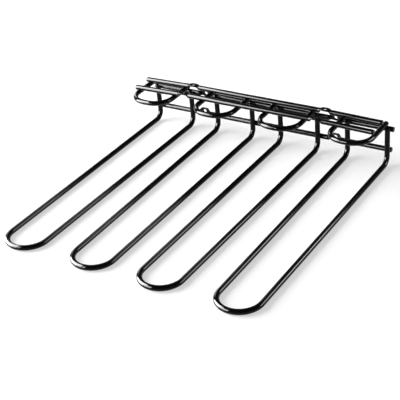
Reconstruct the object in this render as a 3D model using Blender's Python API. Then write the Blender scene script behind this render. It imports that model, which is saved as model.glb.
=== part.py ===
"""A cup rack of bent and welded wire, as a Blender 4.5 script.

Cups and stemmed glasses hang by their feet on four long fingers. Each finger is one wire: two uprights,
two legs and a half-round tip. Two rear bars tie the uprights together. Four U-shaped loops lie on the upper
bar, one over the root of each finger, and two top rods lie over the loops. The rods and the bars are pressed
flat in two places each, with a screw hole there: the rods' tabs screw up under a shelf, the bars' tabs to a
wall.

Sizes are in metres. +Z is up, +X is to the right and the fingers point along -Y. The origin is on the
surface that the fingers rest on, below the middle of the rack's bounding box.
"""

import math

import bmesh
import bpy
from mathutils import Vector

# Wire, with its coating. Wires that are welded on the real rack keep a hair's gap here.
WIRE = 0.0065
WELD_GAP = 0.0003
WIRE_SIDES = 12
MERGE_DISTANCE = 0.00003
SMOOTH_DEGREES = 50

# Fingers. Widths and places are between centre lines, and lengths start at the uprights' centre plane.
# Each finger narrows a little from its uprights to its tip.
FINGERS = 4
FINGER_PITCH = 0.092
FINGER_WIDTH = 0.052
TIP_WIDTH = 0.0496
FINGER_LENGTH = 0.340
FOOT_RADIUS = 0.011
FOOT_STEPS = 5
TIP_STEPS = 14

# How far each finger stands from even spacing, and its tip from straight, as the rack was welded up
FINGER_SHIFTS = (0, -0.0011, -0.0005, -0.0001)
TIP_SETS = (-0.0005, 0.0017, -0.0026, -0.0003)

# Rear bars, at heights above the legs' centre plane, and how far they pass the outer uprights.
LOWER_BAR_HEIGHT = 0.0143
UPPER_BAR_HEIGHT = 0.0423
LOWER_BAR_LEFT_STUB = 0.0028
LOWER_BAR_RIGHT_STUB = 0.0032
UPPER_BAR_LEFT_STUB = 0.0085
UPPER_BAR_RIGHT_STUB = 0.0056

# Top loops: their middles lie a little to the left of the fingers'.
LOOP_WIDTH = 0.0526
LOOP_REACH = 0.0558
LOOP_CORNER = 0.023
LOOP_CORNER_STEPS = 7
LOOP_TAIL = 0.0067
LOOP_SHIFTS = (-0.0081, -0.006, -0.0065, -0.0045)

# Top rods, and how far they pass the outer loops. Their end sections are set forward from the tabs on.
REAR_ROD_SETBACK = 0.0041
ROD_SPACING = 0.0258
ROD_LEFT_OVERHANG = 0.0027
ROD_RIGHT_OVERHANG = 0.0012
ROD_END_SET = 0.003

# Pressed screw tabs. Each lies near the middle of a gap between two fingers or two loops.
TAB_LENGTH = 0.017
TAB_FLAT_LENGTH = 0.009
TAB_WIDTH = 0.009
TAB_THICKNESS = 0.0018
TAB_STEPS = 3
TAB_SIDE_SHARE = 0.25
SCREW_HOLE = 0.0045
HOLE_SIDES = 24
TAB_GAPS = (0, 2)
ROD_TAB_SHIFTS = (-0.0045, -0.0018)
UPPER_BAR_TAB_SHIFTS = (-0.0016, 0.0008)
LOWER_BAR_TAB_SHIFTS = (-0.0056, 0.0003)
UPPER_TAB_RISE = 0.0008
LOWER_TAB_RISE = 0.0022
CUT_OVERRUN = 0.002

# Gloss black coating
COATING_COLOUR = (0.006, 0.006, 0.007, 1)
COATING_ROUGHNESS = 0.12

RADIUS = WIRE / 2
BAR_BACK = WIRE + WELD_GAP
LOOP_HEIGHT = UPPER_BAR_HEIGHT + WIRE + WELD_GAP
ROD_HEIGHT = LOOP_HEIGHT + WIRE + WELD_GAP


def finger_middle(index):
    """How far a finger's middle is from the first upright."""
    return index * FINGER_PITCH + FINGER_WIDTH / 2 + FINGER_SHIFTS[index]


def loop_middle(index):
    return finger_middle(index) + LOOP_SHIFTS[index]


ROD_START = loop_middle(0) - LOOP_WIDTH / 2 - ROD_LEFT_OVERHANG
ROD_END = loop_middle(FINGERS - 1) + LOOP_WIDTH / 2 + ROD_RIGHT_OVERHANG
LAST_UPRIGHT = finger_middle(FINGERS - 1) + FINGER_WIDTH / 2
UPPER_BAR_END = LAST_UPRIGHT + UPPER_BAR_RIGHT_STUB
LOWER_BAR_END = LAST_UPRIGHT + LOWER_BAR_RIGHT_STUB


def frame_shift():
    """Moves the first upright's foot to its place in a frame whose origin is below the rack's middle."""
    left = min(ROD_START, -UPPER_BAR_LEFT_STUB, -LOWER_BAR_LEFT_STUB, -RADIUS)
    right = max(ROD_END, UPPER_BAR_END, LOWER_BAR_END, LAST_UPRIGHT + RADIUS)
    front = -FINGER_LENGTH - RADIUS
    back = max(BAR_BACK + RADIUS, LOOP_TAIL)
    return Vector((-(left + right) / 2, -(front + back) / 2, RADIUS))


SHIFT = frame_shift()


def arc(centre, radius, start, end, steps):
    """Points of an arc in a plane, as (across, along) pairs, with angles in degrees."""
    angles = [math.radians(start + (end - start) * step / steps) for step in range(steps + 1)]
    return [(centre[0] + radius * math.cos(a), centre[1] + radius * math.sin(a)) for a in angles]


def finger_points():
    """The centre line of one finger. Both uprights end level with the top of the upper bar."""
    half = FINGER_WIDTH / 2
    top = UPPER_BAR_HEIGHT + RADIUS
    foot = arc((-FOOT_RADIUS, FOOT_RADIUS), FOOT_RADIUS, 0, -90, FOOT_STEPS)
    left = [(-half, 0, top)] + [(-half, y, z) for y, z in foot]
    right = [(-x, y, z) for x, y, z in reversed(left)]
    tip = arc((0, TIP_WIDTH / 2 - FINGER_LENGTH), TIP_WIDTH / 2, 180, 360, TIP_STEPS)
    return left + [(x, y, 0) for x, y in tip] + right


def loop_points():
    """The centre line of one top loop, from left tail to right tail. Its width limits its bends."""
    half = LOOP_WIDTH / 2
    bend = min(LOOP_CORNER, half - RADIUS)
    corner = arc((bend - half, bend - LOOP_REACH), bend, 180, 270, LOOP_CORNER_STEPS)
    left = [(x, y, 0) for x, y in [(-half, LOOP_TAIL)] + corner]
    return left + [(-x, y, z) for x, y, z in reversed(left)]


def wire_curve(name, points):
    curve = bpy.data.curves.new(name, "CURVE")
    curve.dimensions = "3D"
    curve.bevel_depth = RADIUS
    curve.bevel_resolution = (WIRE_SIDES - 4) // 2
    curve.use_fill_caps = True
    spline = curve.splines.new("POLY")
    spline.points.add(len(points) - 1)
    for spline_point, place in zip(spline.points, points):
        spline_point.co = (*place, 1)
    return curve


def coating(name):
    material = bpy.data.materials.new(name + "_coating")
    material.use_nodes = True
    shader = material.node_tree.nodes["Principled BSDF"]
    shader.inputs["Base Color"].default_value = COATING_COLOUR
    shader.inputs["Roughness"].default_value = COATING_ROUGHNESS
    shader.inputs["Metallic"].default_value = 0
    return material


def add_object(name, data, place, collection, parent):
    """Adds an object at a place measured from the first upright's foot."""
    item = bpy.data.objects.new(name, data)
    item.location = Vector(place) + SHIFT
    item.parent = parent
    collection.objects.link(item)
    return item


def add_wire(name, data, place, collection, parent):
    item = add_object(name, data, place, collection, parent)
    if not data.materials:
        data.materials.append(None)
    item.material_slots[0].link = "OBJECT"
    item.material_slots[0].material = coating(name)
    return item


def flatness(distance):
    """0 on round wire, 1 on a tab's flat middle, with a smooth rise between, by distance from the middle."""
    rise = (TAB_LENGTH - TAB_FLAT_LENGTH) / 2
    share = min(max((TAB_LENGTH / 2 - abs(distance)) / rise, 0), 1)
    return share * share * (3 - 2 * share)


def tab_stations(tab):
    """Where a tabbed wire needs a ring of vertices, so that it can take the tab's shape."""
    rise = (TAB_LENGTH - TAB_FLAT_LENGTH) / 2
    left = [tab - TAB_LENGTH / 2 + rise * step / TAB_STEPS for step in range(TAB_STEPS + 1)]
    right = [2 * tab - station for station in reversed(left)]
    return left + [tab] + right


def end_set(station, length, tabs, most):
    """How far a rod's centre line is set forward: nothing between its tabs, and the most at its ends."""
    before = max(tabs[0] - station, 0) / tabs[0]
    after = max(station - tabs[-1], 0) / (length - tabs[-1])
    return most * max(before, after)


def tabbed_wire(name, length, tabs, most_set, tab_shift):
    """A mesh of one wire along +X, pressed flat round each tab, with the flat flush with its top."""
    stations = [0] + [station for tab in tabs for station in tab_stations(tab)] + [length]
    points = [(station, -end_set(station, length, tabs, most_set), 0) for station in stations]
    guide = bpy.data.objects.new(name + "_guide", wire_curve(name, points))
    bpy.context.scene.collection.objects.link(guide)
    bpy.context.view_layer.update()
    evaluated = guide.evaluated_get(bpy.context.evaluated_depsgraph_get())
    mesh = bpy.data.meshes.new_from_object(evaluated)
    mesh.name = name
    bpy.data.objects.remove(guide)

    work = bmesh.new()
    work.from_mesh(mesh)
    bmesh.ops.remove_doubles(work, verts=work.verts, dist=MERGE_DISTANCE)
    for vertex in work.verts:
        nearest = min(tabs, key=lambda tab: abs(vertex.co.x - tab))
        flat = flatness(vertex.co.x - nearest)
        middle = -end_set(vertex.co.x, length, tabs, most_set)
        across = vertex.co.y - middle
        through = vertex.co.z
        side = 0 if abs(through) < TAB_SIDE_SHARE * RADIUS else math.copysign(1, through)
        pressed = RADIUS - TAB_THICKNESS / 2 + side * TAB_THICKNESS / 2
        vertex.co.z = through + flat * (pressed - through)
        wide = across * TAB_WIDTH / WIRE + tab_shift
        vertex.co.y = middle + across + flat * (wide - across)
    bmesh.ops.recalc_face_normals(work, faces=work.faces)
    work.to_mesh(mesh)
    work.free()
    mesh.shade_smooth()
    mesh.set_sharp_from_angle(angle=math.radians(SMOOTH_DEGREES))
    return mesh


def drill(item, tabs, tab_shift, cutters):
    """Cuts a screw hole through each tab of a wire, square to the tab."""
    for number, tab in enumerate(tabs, 1):
        bpy.ops.mesh.primitive_cylinder_add(
            vertices=HOLE_SIDES, radius=SCREW_HOLE / 2, depth=WIRE + 2 * CUT_OVERRUN
        )
        cutter = bpy.context.object
        cutter.name = f"{item.name}_hole_{number}"
        for collection in cutter.users_collection:
            collection.objects.unlink(cutter)
        cutters.objects.link(cutter)
        cutter.parent = item
        cutter.location = (tab, tab_shift, 0)
        cutter.hide_render = True
        cutter.display_type = "WIRE"
        cut = item.modifiers.new(cutter.name, "BOOLEAN")
        cut.operation = "DIFFERENCE"
        cut.object = cutter


def gap_middles(middle_of):
    """The middles of the gaps that have tabs, between two fingers or two loops."""
    return [(middle_of(gap) + middle_of(gap + 1)) / 2 for gap in TAB_GAPS]


def add_fingers(rack, root):
    data = wire_curve("finger", finger_points())
    for index in range(FINGERS):
        finger = add_wire(f"finger_{index + 1}", data, (finger_middle(index), 0, 0), rack, root)
        finger.rotation_euler.z = math.atan(TIP_SETS[index] / FINGER_LENGTH)


def add_top_loops(rack, root):
    data = wire_curve("top_loop", loop_points())
    for index in range(FINGERS):
        add_wire(f"top_loop_{index + 1}", data, (loop_middle(index), 0, LOOP_HEIGHT), rack, root)


def add_top_rods(rack, cutters, root):
    middles = gap_middles(loop_middle)
    tabs = [middle + shift - ROD_START for middle, shift in zip(middles, ROD_TAB_SHIFTS)]
    for name, forward in (("rear_top_rod", 0), ("front_top_rod", ROD_SPACING)):
        mesh = tabbed_wire(name, ROD_END - ROD_START, tabs, ROD_END_SET, 0)
        place = (ROD_START, -REAR_ROD_SETBACK - forward, ROD_HEIGHT)
        rod = add_wire(name, mesh, place, rack, root)
        drill(rod, tabs, 0, cutters)


def add_rear_bars(rack, cutters, root):
    """The bars are made as the rods are, then turned so that their tabs face back."""
    middles = gap_middles(finger_middle)
    upper = (UPPER_BAR_HEIGHT, -UPPER_BAR_LEFT_STUB, UPPER_BAR_END, UPPER_BAR_TAB_SHIFTS, UPPER_TAB_RISE)
    lower = (LOWER_BAR_HEIGHT, -LOWER_BAR_LEFT_STUB, LOWER_BAR_END, LOWER_BAR_TAB_SHIFTS, LOWER_TAB_RISE)
    for name, sizes in (("upper_rear_bar", upper), ("lower_rear_bar", lower)):
        height, start, end, shifts, tab_rise = sizes
        tabs = [middle + shift - start for middle, shift in zip(middles, shifts)]
        mesh = tabbed_wire(name, end - start, tabs, 0, -tab_rise)
        bar = add_wire(name, mesh, (start, BAR_BACK, height), rack, root)
        bar.rotation_euler.x = -math.pi / 2
        drill(bar, tabs, -tab_rise, cutters)


def main():
    for item in list(bpy.data.objects):
        bpy.data.objects.remove(item)
    rack = bpy.data.collections.new("cup_rack")
    cutters = bpy.data.collections.new("cutters")
    bpy.context.scene.collection.children.link(rack)
    bpy.context.scene.collection.children.link(cutters)
    root = bpy.data.objects.new("cup_rack_origin", None)
    rack.objects.link(root)
    add_fingers(rack, root)
    add_top_loops(rack, root)
    add_top_rods(rack, cutters, root)
    add_rear_bars(rack, cutters, root)


main()
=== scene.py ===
"""The looks of a black coated wire cup rack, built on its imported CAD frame.

Each CAD wire is stood for by a finer one of the same size in the same place: smooth bends, rounded cut
ends, and pressed tabs with a punched and rounded hole. Small fillets stand for the welds where two wires
cross. All sizes are in metres, in the frame's own axes: +Z up, the fingers point along -Y.
"""

import math

import bmesh
import bpy
from mathutils import Matrix, Vector


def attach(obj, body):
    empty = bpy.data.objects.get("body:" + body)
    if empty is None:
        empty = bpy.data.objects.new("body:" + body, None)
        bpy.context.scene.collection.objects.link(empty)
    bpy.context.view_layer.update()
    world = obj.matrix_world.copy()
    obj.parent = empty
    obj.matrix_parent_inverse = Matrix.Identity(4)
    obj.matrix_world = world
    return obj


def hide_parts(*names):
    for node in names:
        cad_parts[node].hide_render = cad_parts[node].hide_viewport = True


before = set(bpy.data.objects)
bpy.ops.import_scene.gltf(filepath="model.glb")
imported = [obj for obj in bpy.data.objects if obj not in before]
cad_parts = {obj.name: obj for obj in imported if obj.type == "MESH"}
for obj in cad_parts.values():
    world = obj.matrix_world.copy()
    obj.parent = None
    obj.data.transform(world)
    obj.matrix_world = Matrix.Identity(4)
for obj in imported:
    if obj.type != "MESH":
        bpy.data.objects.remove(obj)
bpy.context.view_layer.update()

MM = 0.001

# The first upright's foot, on its centre line. Places along the rack are measured from it.
ORIGIN = Vector((-161.2, 166.6, 3.25)) * MM

# Wire
RADIUS = 3.25 * MM
WELD_GAP = 0.3 * MM
STACK = 2 * RADIUS + WELD_GAP
SIDES = 32
LONG_STRAIGHT = 12 * MM
END_ROUNDING = 0.7 * MM
END_STEPS = 4

# Fingers. TIP_SETS is how far each tip stands to the right of its finger's root
FINGER_WIDTH = 52 * MM
FINGER_LENGTH = 340 * MM
FINGER_MIDDLES = [x * MM for x in (26, 116.9, 209.5, 301.9)]
TIP_WIDTH = 49.6 * MM
TIP_SETS = [x * MM for x in (-0.5, 1.7, -2.6, -0.3)]
FOOT_RADIUS = 11 * MM
FOOT_STEPS = 14
TIP_STEPS = 56

# Rear bars: heights, ends and tabs
UPPER_BAR_HEIGHT = 42.3 * MM
LOWER_BAR_HEIGHT = 14.3 * MM
UPPER_BAR_ENDS = (-8.5 * MM, 333.5 * MM)
LOWER_BAR_ENDS = (-2.8 * MM, 331.1 * MM)
UPPER_BAR_TABS = (69.85 * MM, 256.5 * MM)
LOWER_BAR_TABS = (65.85 * MM, 256.0 * MM)
UPPER_TAB_RISE = 0.8 * MM
LOWER_TAB_RISE = 2.2 * MM

# Top loops
LOOP_WIDTH = 52.6 * MM
LOOP_MIDDLES = [x * MM for x in (17.9, 110.9, 203.0, 297.4)]
LOOP_HEIGHT = UPPER_BAR_HEIGHT + STACK
LOOP_REACH = 55.8 * MM
LOOP_TAIL = 6.7 * MM
LOOP_CORNER = 23 * MM
LOOP_STEPS = 24

# Top rods. ROD_OFFSETS is how far forward of the uprights each lies, and ROD_END_SET what its ends add
ROD_ENDS = (-11.1 * MM, 324.9 * MM)
ROD_TABS = (59.9 * MM, 248.4 * MM)
ROD_HEIGHT = LOOP_HEIGHT + STACK
ROD_OFFSETS = {"rear_top_rod": 4.1 * MM, "front_top_rod": 29.9 * MM}
ROD_END_SET = 3 * MM

# Pressed tabs
TAB_LENGTH = 17 * MM
TAB_FLAT = 9 * MM
TAB_WIDTH = 9 * MM
TAB_THICKNESS = 1.8 * MM
TAB_FULL = 3.6 * MM
TAB_EDGE_POWER = 6
TAB_RISE_STEPS = 10
HOLE_RADIUS = 2.25 * MM
HOLE_ROUNDING = 0.3 * MM

# Steps round a hole's rounding, as shares of it (outwards, down), and steps over a tab's flat middle, from
# the hole's rim at 0 to the outline at 1
HOLE_WALL_SHARES = ((0.5, 0.134), (0.134, 0.5), (0, 1))
PATCH_SHARES = (0, 0.12, 0.28, 0.46, 0.64, 0.78, 0.88, 0.95, 0.985, 1)

# Weld fillets
FILLET_WAIST = 1.15 * MM
FILLET_REACH = 1.9 * MM
FILLET_SIDES = 32
FILLET_LEVELS = 12
FILLET_SINK = 0.5 * MM

# Coating. Noise scales are per metre. The spans and tones say what the broad noise's values become
COATING_IOR = 1.5
COATING_SPECULAR = 0.12
COATING_OFFSETS = {"finger_black": 0.0, "loop_black": 1.7, "rod_black": 3.1, "bar_black": 4.9}
BROAD_SCALE = 55.0
BROAD_DETAIL = 3.0
PEEL_SCALE = 620.0
PEEL_DETAIL = 2.0
PEEL_ROUGHNESS = 0.45
PEEL_STRENGTH = 0.35
PEEL_DEPTH = 0.04 * MM
ROUGHNESS_SPAN = {"From Min": 0.3, "From Max": 0.7, "To Min": 0.07, "To Max": 0.12}
TONES = ((0.3, (0.001, 0.001, 0.0011, 1)), (0.75, (0.0025, 0.0025, 0.0027, 1)))

# Camera, at the photograph's place and angle
CAMERA_PLACE = (0.59939, -0.88523, 0.63911)
CAMERA_YAW, CAMERA_PITCH, CAMERA_ROLL = (math.radians(a) for a in (34.0, 30.851, -5.278))
CAMERA_SENSOR = 36
CAMERA_LENS = 95.205
CAMERA_SHIFT = (-0.00125, 0.00125)

# Lamps: name, centre, way it faces, size, surface brightness, and the rays that see it. A softbox stands at
# the left. The floor and the colours see it as key_box, at a plain level, and the gloss as key_mirror, with
# two dimmer panels in front of it and two behind the rack.
LAMPS = (
    ("key_box", (-2.25, -0.45, 1.26), (1, 0, 0), (2.7, 2.4), 12, "diffuse"),
    ("key_mirror", (-0.62, -0.3, 0.5), (1, 0, 0), (0.6, 1.0), 75, "glossy"),
    ("side_mirror", (-0.62, -0.875, 0.55), (1, 0, 0), (0.55, 0.9), 50, "glossy"),
    ("front_mirror", (-0.3, -0.9, 0.46), (1, 0, 0), (0.38, 0.6), 55, "glossy"),
    ("back_mirror_right", (0.87, 0.45, 0.35), (-0.6, -0.8, 0), (0.68, 0.17), 52, "glossy"),
    ("back_mirror_left", (-1.85, 1.4, 0.85), (0.62, -0.78, 0), (0.8, 0.9), 10, "glossy"),
)
WORLD_STRENGTH = 0.15

# Floor
FLOOR_HALF = 6
FLOOR_GREY = 0.5
FLOOR_GLOW = 0.56

X_AXIS, Y_AXIS, Z_AXIS = Vector((1, 0, 0)), Vector((0, 1, 0)), Vector((0, 0, 1))


def new_object(name, vertices, faces, merge=True):
    """A smooth-shaded mesh object from points measured from ORIGIN. merge joins points that coincide."""
    mesh = bpy.data.meshes.new(name)
    mesh.from_pydata([tuple(Vector(v) + ORIGIN) for v in vertices], [], faces)
    work = bmesh.new()
    work.from_mesh(mesh)
    if merge:
        bmesh.ops.remove_doubles(work, verts=work.verts, dist=MM / 1000)
    bmesh.ops.recalc_face_normals(work, faces=work.faces)
    work.to_mesh(mesh)
    work.free()
    mesh.shade_smooth()
    obj = bpy.data.objects.new(name, mesh)
    bpy.context.scene.collection.objects.link(obj)
    return obj


def ring_faces(first, second, count):
    """Quads between two closed rings of points that start at these numbers."""
    after = [(k + 1) % count for k in range(count)]
    return [(first + k, first + after[k], second + after[k], second + k) for k in range(count)]


def tube_faces(base, rings, count):
    """Quads between each ring and the next. The rings' points are numbered one after another from base."""
    return [face for i in range(rings - 1)
            for face in ring_faces(base + i * count, base + (i + 1) * count, count)]


def fan_faces(first, hub):
    """Triangles from a ring of a wire to the point in its middle."""
    return [(first + k, first + (k + 1) % SIDES, hub) for k in range(SIDES)]


def ring_angles(count):
    """Angles of points evenly spaced round a ring."""
    return [2 * math.pi * k / count for k in range(count)]


def arc(centre, radius, start, end, steps):
    """Points of an arc as pairs, with angles in degrees."""
    angles = [math.radians(start + (end - start) * step / steps) for step in range(steps + 1)]
    return [(centre[0] + radius * math.cos(a), centre[1] + radius * math.sin(a)) for a in angles]


def smooth(share):
    """A soft step from 0 to 1."""
    share = min(max(share, 0), 1)
    return share * share * (3 - 2 * share)


def cut_profile():
    """(distance in from the cut, ring radius) pairs of a rounded wire end, from its side to its face."""
    angles = [math.pi / 2 * step / END_STEPS for step in range(END_STEPS + 1)]
    return [(END_ROUNDING * (1 - math.sin(a)), RADIUS - END_ROUNDING * (1 - math.cos(a))) for a in angles]


def steadied(stations):
    """Stations with two more near the ends of each long straight, so that its shading stays straight."""
    steady = stations[:1]
    for before, after in zip(stations, stations[1:]):
        span = (after - before).length
        if span > LONG_STRAIGHT:
            steady += [before.lerp(after, RADIUS / span), before.lerp(after, 1 - RADIUS / span)]
        steady.append(after)
    return steady


def wire_along(name, points):
    """A closed round wire that follows points, with a rounded cut at each end."""
    path = [Vector(p) for p in points]
    start_dir = (path[1] - path[0]).normalized()
    end_dir = (path[-1] - path[-2]).normalized()
    stations = [Vector((*(path[0] + start_dir * back), size)) for back, size in reversed(cut_profile())]
    stations += [Vector((*point, RADIUS)) for point in path[1:-1]]
    stations += [Vector((*(path[-1] - end_dir * back), size)) for back, size in cut_profile()]
    stations = steadied(stations)
    count = len(stations)
    tangents = []
    for i in range(count):
        if i <= END_STEPS:
            tangents.append(start_dir)
        elif i >= count - 1 - END_STEPS:
            tangents.append(end_dir)
        else:
            before = (stations[i].xyz - stations[i - 1].xyz).normalized()
            after = (stations[i + 1].xyz - stations[i].xyz).normalized()
            tangents.append((before + after).normalized())
    side = tangents[0].orthogonal().normalized()
    vertices, faces = [], []
    for i, station in enumerate(stations):
        if i:
            side = tangents[i - 1].rotation_difference(tangents[i]) @ side
            side = (side - tangents[i] * side.dot(tangents[i])).normalized()
        other = tangents[i].cross(side)
        for angle in ring_angles(SIDES):
            vertices.append(station.xyz + station.w * (side * math.cos(angle) + other * math.sin(angle)))
    faces += tube_faces(0, count, SIDES)
    for first, station in ((0, stations[0]), ((count - 1) * SIDES, stations[-1])):
        vertices.append(station.xyz)
        faces += fan_faces(first, len(vertices) - 1)
    return new_object(name, vertices, faces, merge=False)


def finger_path(middle, tip_set):
    """The centre line of a finger that narrows towards its tip, turned so that its tip stands aside."""
    half = FINGER_WIDTH / 2
    foot = arc((-FOOT_RADIUS, FOOT_RADIUS), FOOT_RADIUS, 0, -90, FOOT_STEPS)
    left = [(-half, 0, UPPER_BAR_HEIGHT + RADIUS)] + [(-half, y, z) for y, z in foot]
    right = [(-x, y, z) for x, y, z in reversed(left)]
    tip = arc((0, TIP_WIDTH / 2 - FINGER_LENGTH), TIP_WIDTH / 2, 180, 360, TIP_STEPS)
    turn = Matrix.Rotation(math.atan(tip_set / FINGER_LENGTH), 3, "Z")
    points = left + [(x, y, 0) for x, y in tip] + right
    return [turn @ Vector(point) + middle * X_AXIS for point in points]


def loop_path(middle):
    """The centre line of a top loop, open at the back."""
    half = LOOP_WIDTH / 2
    corner = arc((LOOP_CORNER - half, LOOP_CORNER - LOOP_REACH), LOOP_CORNER, 180, 270, LOOP_STEPS)
    left = [(-half, LOOP_TAIL)] + corner
    return [(middle + x, y, LOOP_HEIGHT) for x, y in left + [(-x, y) for x, y in reversed(left)]]


def tab_half(distance):
    """Half a tab's width at a distance from its middle: an almond that is full beside the hole."""
    rise = (TAB_LENGTH - TAB_FULL) / 2
    return RADIUS + (TAB_WIDTH / 2 - RADIUS) * smooth((TAB_LENGTH / 2 - abs(distance)) / rise)


def tab_height(share, sign):
    """Height of a tab's upper or lower skin where this share of its half width is reached."""
    thick = max(1 - abs(share) ** TAB_EDGE_POWER, 0) ** (1 / TAB_EDGE_POWER)
    return RADIUS - TAB_THICKNESS / 2 + math.copysign(thick, sign) * TAB_THICKNESS / 2


def tab_outline():
    """Points round a tab's flat middle. Its two ends match the rings of the wire beside it."""
    half = TAB_FLAT / 2
    steps = SIDES // 2
    shares = [math.cos(math.pi * k / steps) for k in range(steps + 1)]
    along = [half - TAB_FLAT * k / steps for k in range(steps + 1)]
    outline = [(half, tab_half(half) * share) for share in reversed(shares)][:-1]
    outline += [(x, tab_half(x)) for x in along][:-1]
    outline += [(-half, tab_half(half) * share) for share in shares][:-1]
    outline += [(x, -tab_half(x)) for x in reversed(along)][:-1]
    return outline


def tab_skin(outline, sign):
    """Rings of one skin of a tab's flat middle, from its outline in to the hole's rim."""
    rim = HOLE_RADIUS + HOLE_ROUNDING
    rings = []
    for share in reversed(PATCH_SHARES):
        ring = []
        for x, y in outline:
            inner = rim / math.hypot(x, y) * (1 - share) + share
            ring.append((x * inner, y * inner, tab_height(y * inner / tab_half(x * inner), sign)))
        rings.append(ring)
    return rings


def hole_wall(outline):
    """Rings down a hole's rounded wall, from the upper skin to the lower one."""
    steps = [(out, tab_height(0, 1) - HOLE_ROUNDING * down) for out, down in HOLE_WALL_SHARES]
    steps += [(out, tab_height(0, -1) + HOLE_ROUNDING * down) for out, down in reversed(HOLE_WALL_SHARES)]
    rings = []
    for out, height in steps:
        reach = HOLE_RADIUS + HOLE_ROUNDING * out
        rings.append([
            (reach * x / math.hypot(x, y), reach * y / math.hypot(x, y), height) for x, y in outline
        ])
    return rings


def add_tab(middle, shift, vertices, faces):
    """Adds a tab's flat middle, with its hole, to a wire's points and faces."""
    outline = tab_outline()
    rings = tab_skin(outline, 1) + hole_wall(outline) + tab_skin(outline, -1)[::-1]
    base = len(vertices)
    for ring in rings:
        vertices.extend((middle + x, y + shift, z) for x, y, z in ring)
    faces.extend(tube_faces(base, len(rings), len(outline)))


def tabbed_wire(name, ends, tabs, tab_shift, place):
    """A wire along X, pressed flat round each tab, whose points place() then puts where they belong.

    A run is the wire from one cut or tab to the next, as (along, ring radius, distance from the tab) steps.
    """
    rise = (TAB_LENGTH - TAB_FLAT) / 2
    distances = [TAB_LENGTH / 2 - rise * step / TAB_RISE_STEPS for step in range(TAB_RISE_STEPS + 1)]
    runs = [[Vector((ends[0] + back, size, TAB_LENGTH)) for back, size in reversed(cut_profile())]]
    for tab in tabs:
        runs[-1] += [Vector((tab - distance, RADIUS, distance)) for distance in distances]
        runs.append([Vector((tab + distance, RADIUS, distance)) for distance in reversed(distances)])
    runs[-1] += [Vector((ends[1] - back, size, TAB_LENGTH)) for back, size in cut_profile()]
    vertices, faces = [], []
    for number, run in enumerate(map(steadied, runs)):
        base = len(vertices)
        for x, size, distance in run:
            flat = smooth((TAB_LENGTH / 2 - distance) / rise)
            for angle in ring_angles(SIDES):
                y, z = size * math.cos(angle), size * math.sin(angle)
                wide = tab_half(distance) * math.cos(angle) + tab_shift
                through = tab_height(math.cos(angle), math.sin(angle))
                vertices.append((x, y + flat * (wide - y), z + flat * (through - z)))
        faces += tube_faces(base, len(run), SIDES)
        if number == 0:
            vertices.append((ends[0], 0, 0))
            faces += fan_faces(base, len(vertices) - 1)
        if number == len(runs) - 1:
            vertices.append((ends[1], 0, 0))
            faces += fan_faces(base + (len(run) - 1) * SIDES, len(vertices) - 1)
    for tab in tabs:
        add_tab(tab, tab_shift, vertices, faces)
    return new_object(name, [place(*v) for v in vertices], faces)


def end_set(x):
    """How far a top rod is set forward: its end sections splay forward from the tabs on."""
    before = max(ROD_TABS[0] - x, 0) / (ROD_TABS[0] - ROD_ENDS[0])
    after = max(x - ROD_TABS[1], 0) / (ROD_ENDS[1] - ROD_TABS[1])
    return ROD_END_SET * max(before, after)


def fillet(centre, lower, upper, room=math.inf):
    """Rings of a closed saddle of weld and coating between two wires that cross.

    centre is midway between their centre lines, lower and upper are their axes, and room is how far along
    the upper wire the saddle may reach before it would pass a cut end.
    """
    up = lower.cross(upper).normalized()
    gap = RADIUS + WELD_GAP / 2
    levels = [2 * k / FILLET_LEVELS - 1 for k in range(FILLET_LEVELS + 1)]
    levels = levels[:1] + levels + levels[-1:]
    rings = []
    for number, level in enumerate(levels):
        sunk = number in (0, len(levels) - 1)
        bulge = 1 - math.sqrt(1 - level * level)
        reach = FILLET_WAIST + (FILLET_REACH - FILLET_WAIST) * bulge - (FILLET_SINK if sunk else 0)
        ring = []
        for angle in ring_angles(FILLET_SIDES):
            x, y = reach * math.cos(angle), min(reach * math.sin(angle), room)
            bottom = math.sqrt(RADIUS ** 2 - y ** 2) - gap
            top = gap - math.sqrt(RADIUS ** 2 - x ** 2)
            height = bottom + (top - bottom) * (level + 1) / 2
            if sunk:
                height += math.copysign(FILLET_SINK, level)
            ring.append(centre + lower * x + upper * y + up * height)
        rings.append(ring)
    return rings


def fillets(name, places):
    """One object of saddles, where each place holds what fillet() needs."""
    vertices, faces = [], []
    for place in places:
        rings = fillet(*place)
        base = len(vertices)
        last = base + (len(rings) - 1) * FILLET_SIDES
        for ring in rings:
            vertices += ring
        faces += tube_faces(base, len(rings), FILLET_SIDES)
        faces += [tuple(first + k for k in range(FILLET_SIDES)) for first in (base, last)]
    return new_object(name, vertices, faces, merge=False)


def add_node(nodes, kind, **settings):
    """A new node, with settings for its sockets or its own properties."""
    node = nodes.new(kind)
    for key, value in settings.items():
        if key in node.inputs:
            node.inputs[key].default_value = value
        else:
            setattr(node, key, value)
    return node


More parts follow.
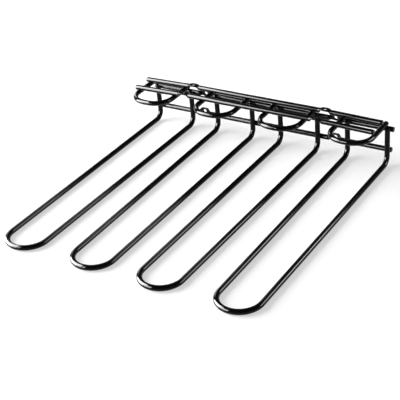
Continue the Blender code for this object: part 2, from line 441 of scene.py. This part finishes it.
def coating(name, offset):
    """Gloss black coating over wire: a fine orange peel, and slow changes of gloss and tone.

    offset moves the noise, so that no two coatings have the same pattern.
    """
    material = bpy.data.materials.new(name)
    material.use_nodes = True
    nodes, link = material.node_tree.nodes, material.node_tree.links.new
    shader = nodes["Principled BSDF"]
    shader.inputs["Metallic"].default_value = 0
    shader.inputs["IOR"].default_value = COATING_IOR
    shader.inputs["Specular IOR Level"].default_value = COATING_SPECULAR
    place = add_node(nodes, "ShaderNodeTexCoord")
    moved = add_node(nodes, "ShaderNodeMapping", Location=(offset, 0, 0))
    link(place.outputs["Object"], moved.inputs["Vector"])
    broad = add_node(nodes, "ShaderNodeTexNoise", Scale=BROAD_SCALE, Detail=BROAD_DETAIL)
    peel = add_node(
        nodes, "ShaderNodeTexNoise", Scale=PEEL_SCALE, Detail=PEEL_DETAIL, Roughness=PEEL_ROUGHNESS
    )
    for texture in (broad, peel):
        link(moved.outputs["Vector"], texture.inputs["Vector"])
    gloss = add_node(nodes, "ShaderNodeMapRange", **ROUGHNESS_SPAN)
    link(broad.outputs["Fac"], gloss.inputs["Value"])
    link(gloss.outputs["Result"], shader.inputs["Roughness"])
    tint = add_node(nodes, "ShaderNodeValToRGB")
    for element, (position, tone) in zip(tint.color_ramp.elements, TONES):
        element.position = position
        element.color = tone
    link(broad.outputs["Fac"], tint.inputs["Fac"])
    link(tint.outputs["Color"], shader.inputs["Base Color"])
    bump = add_node(nodes, "ShaderNodeBump", Strength=PEEL_STRENGTH, Distance=PEEL_DEPTH)
    link(peel.outputs["Fac"], bump.inputs["Height"])
    link(bump.outputs["Normal"], shader.inputs["Normal"])
    return material


def dress(obj, material, slot, *nodes):
    """Gives a piece its coating and its place in the frame, where it stands for these CAD nodes."""
    obj.data.materials.append(material)
    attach(obj, "root")
    if nodes:
        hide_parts(*nodes)


def rod_place(forward):
    """A top rod lies over the loops, this far forward of the uprights' centre lines."""
    return lambda x, y, z: (x, y - forward - end_set(x), ROD_HEIGHT + z)


def bar_place(height):
    """A bar is made as a rod is, then turned so that its tabs face back."""
    return lambda x, y, z: (x, STACK + z, height - y)


def area_light(name, centre, facing, size, radiance, seen_by):
    """A soft lamp of a given surface brightness that only one kind of ray sees."""
    data = bpy.data.lights.new(name, "AREA")
    data.shape = "RECTANGLE"
    data.size, data.size_y = size
    data.energy = radiance * math.pi * size[0] * size[1]
    lamp = bpy.data.objects.new(name, data)
    bpy.context.scene.collection.objects.link(lamp)
    turn = Vector(facing).to_track_quat("-Z", "Y").to_matrix()
    lamp.matrix_world = Matrix.Translation(centre) @ turn.to_4x4()
    lamp.visible_camera = False
    lamp.visible_diffuse = seen_by == "diffuse"
    lamp.visible_glossy = seen_by == "glossy"


def floor_paper():
    """A pale floor that keeps shadows. Its glow is for the camera and the gloss, and lights nothing."""
    paper = bpy.data.materials.new("floor_paper")
    paper.use_nodes = True
    nodes, link = paper.node_tree.nodes, paper.node_tree.links.new
    shader = nodes["Principled BSDF"]
    shader.inputs["Base Color"].default_value = (FLOOR_GREY, FLOOR_GREY, FLOOR_GREY, 1)
    shader.inputs["Roughness"].default_value = 1.0
    shader.inputs["Specular IOR Level"].default_value = 0.0
    shader.inputs["Emission Color"].default_value = (1, 1, 1, 1)
    rays = add_node(nodes, "ShaderNodeLightPath")
    mirrored = add_node(nodes, "ShaderNodeMath", operation="MAXIMUM")
    seen = add_node(nodes, "ShaderNodeMath", operation="MAXIMUM")
    glow = add_node(nodes, "ShaderNodeMath", operation="MULTIPLY")
    glow.inputs[1].default_value = FLOOR_GLOW
    link(rays.outputs["Is Glossy Ray"], mirrored.inputs[0])
    link(rays.outputs["Is Transmission Ray"], mirrored.inputs[1])
    link(rays.outputs["Is Camera Ray"], seen.inputs[0])
    link(mirrored.outputs[0], seen.inputs[1])
    link(seen.outputs[0], glow.inputs[0])
    link(glow.outputs[0], shader.inputs["Emission Strength"])
    return paper


finger_black, loop_black, rod_black, bar_black = (
    coating(name, offset) for name, offset in COATING_OFFSETS.items()
)

for number, (middle, tip_set) in enumerate(zip(FINGER_MIDDLES, TIP_SETS), 1):
    wire = wire_along(f"finger_wire_{number}", finger_path(middle, tip_set))
    dress(wire, finger_black, "finger_coating", f"finger_{number}")

for number, middle in enumerate(LOOP_MIDDLES, 1):
    wire = wire_along(f"loop_wire_{number}", loop_path(middle))
    dress(wire, loop_black, "loop_coating", f"top_loop_{number}")

for name, forward in ROD_OFFSETS.items():
    wire = tabbed_wire(name + "_wire", ROD_ENDS, ROD_TABS, 0, rod_place(forward))
    dress(wire, rod_black, "rod_coating", name)

for name, ends, tabs, rise, height in (
    ("upper_rear_bar", UPPER_BAR_ENDS, UPPER_BAR_TABS, UPPER_TAB_RISE, UPPER_BAR_HEIGHT),
    ("lower_rear_bar", LOWER_BAR_ENDS, LOWER_BAR_TABS, LOWER_TAB_RISE, LOWER_BAR_HEIGHT),
):
    wire = tabbed_wire(name + "_wire", ends, tabs, -rise, bar_place(height))
    dress(wire, bar_black, "bar_coating", name)

uprights = [middle + side * FINGER_WIDTH / 2 for middle in FINGER_MIDDLES for side in (-1, 1)]
loop_legs = [middle + side * LOOP_WIDTH / 2 for middle in LOOP_MIDDLES for side in (-1, 1)]

dress(fillets("bar_welds", [
    (Vector((x, STACK / 2, height)), Z_AXIS, X_AXIS)
    for x in uprights for height in (UPPER_BAR_HEIGHT, LOWER_BAR_HEIGHT)
]), bar_black, "bar_coating")
dress(fillets("loop_welds", [
    (Vector((x, STACK, LOOP_HEIGHT - STACK / 2)), X_AXIS, Y_AXIS, LOOP_TAIL - STACK - END_ROUNDING)
    for x in loop_legs
]), loop_black, "loop_coating")
dress(fillets("rod_welds", [
    (Vector((x, -forward - end_set(x), ROD_HEIGHT - STACK / 2)), -Y_AXIS, X_AXIS,
     ROD_ENDS[1] - END_ROUNDING - x)
    for x in loop_legs for forward in ROD_OFFSETS.values()
]), rod_black, "rod_coating")

camera_data = bpy.data.cameras.new("camera")
camera_data.sensor_width = CAMERA_SENSOR
camera_data.lens = CAMERA_LENS
camera_data.shift_x, camera_data.shift_y = CAMERA_SHIFT
camera = bpy.data.objects.new("camera", camera_data)
bpy.context.scene.collection.objects.link(camera)
camera.matrix_world = (
    Matrix.Translation(CAMERA_PLACE)
    @ Matrix.Rotation(CAMERA_YAW, 4, "Z")
    @ Matrix.Rotation(math.pi / 2 - CAMERA_PITCH, 4, "X")
    @ Matrix.Rotation(CAMERA_ROLL, 4, "Z")
)
bpy.context.scene.camera = camera

for lamp_settings in LAMPS:
    area_light(*lamp_settings)

floor_mesh = bpy.data.meshes.new("floor")
floor_corners = [(x * FLOOR_HALF, y * FLOOR_HALF, 0) for x, y in ((-1, -1), (1, -1), (1, 1), (-1, 1))]
floor_mesh.from_pydata(floor_corners, [], [(0, 1, 2, 3)])
floor_mesh.materials.append(floor_paper())
floor = bpy.data.objects.new("floor", floor_mesh)
bpy.context.scene.collection.objects.link(floor)

world = bpy.data.worlds.new("world")
bpy.context.scene.world = world
world.use_nodes = True
background = world.node_tree.nodes["Background"]
background.inputs["Color"].default_value = (1, 1, 1, 1)
background.inputs["Strength"].default_value = WORLD_STRENGTH

bpy.context.scene.view_settings.view_transform = "Standard"
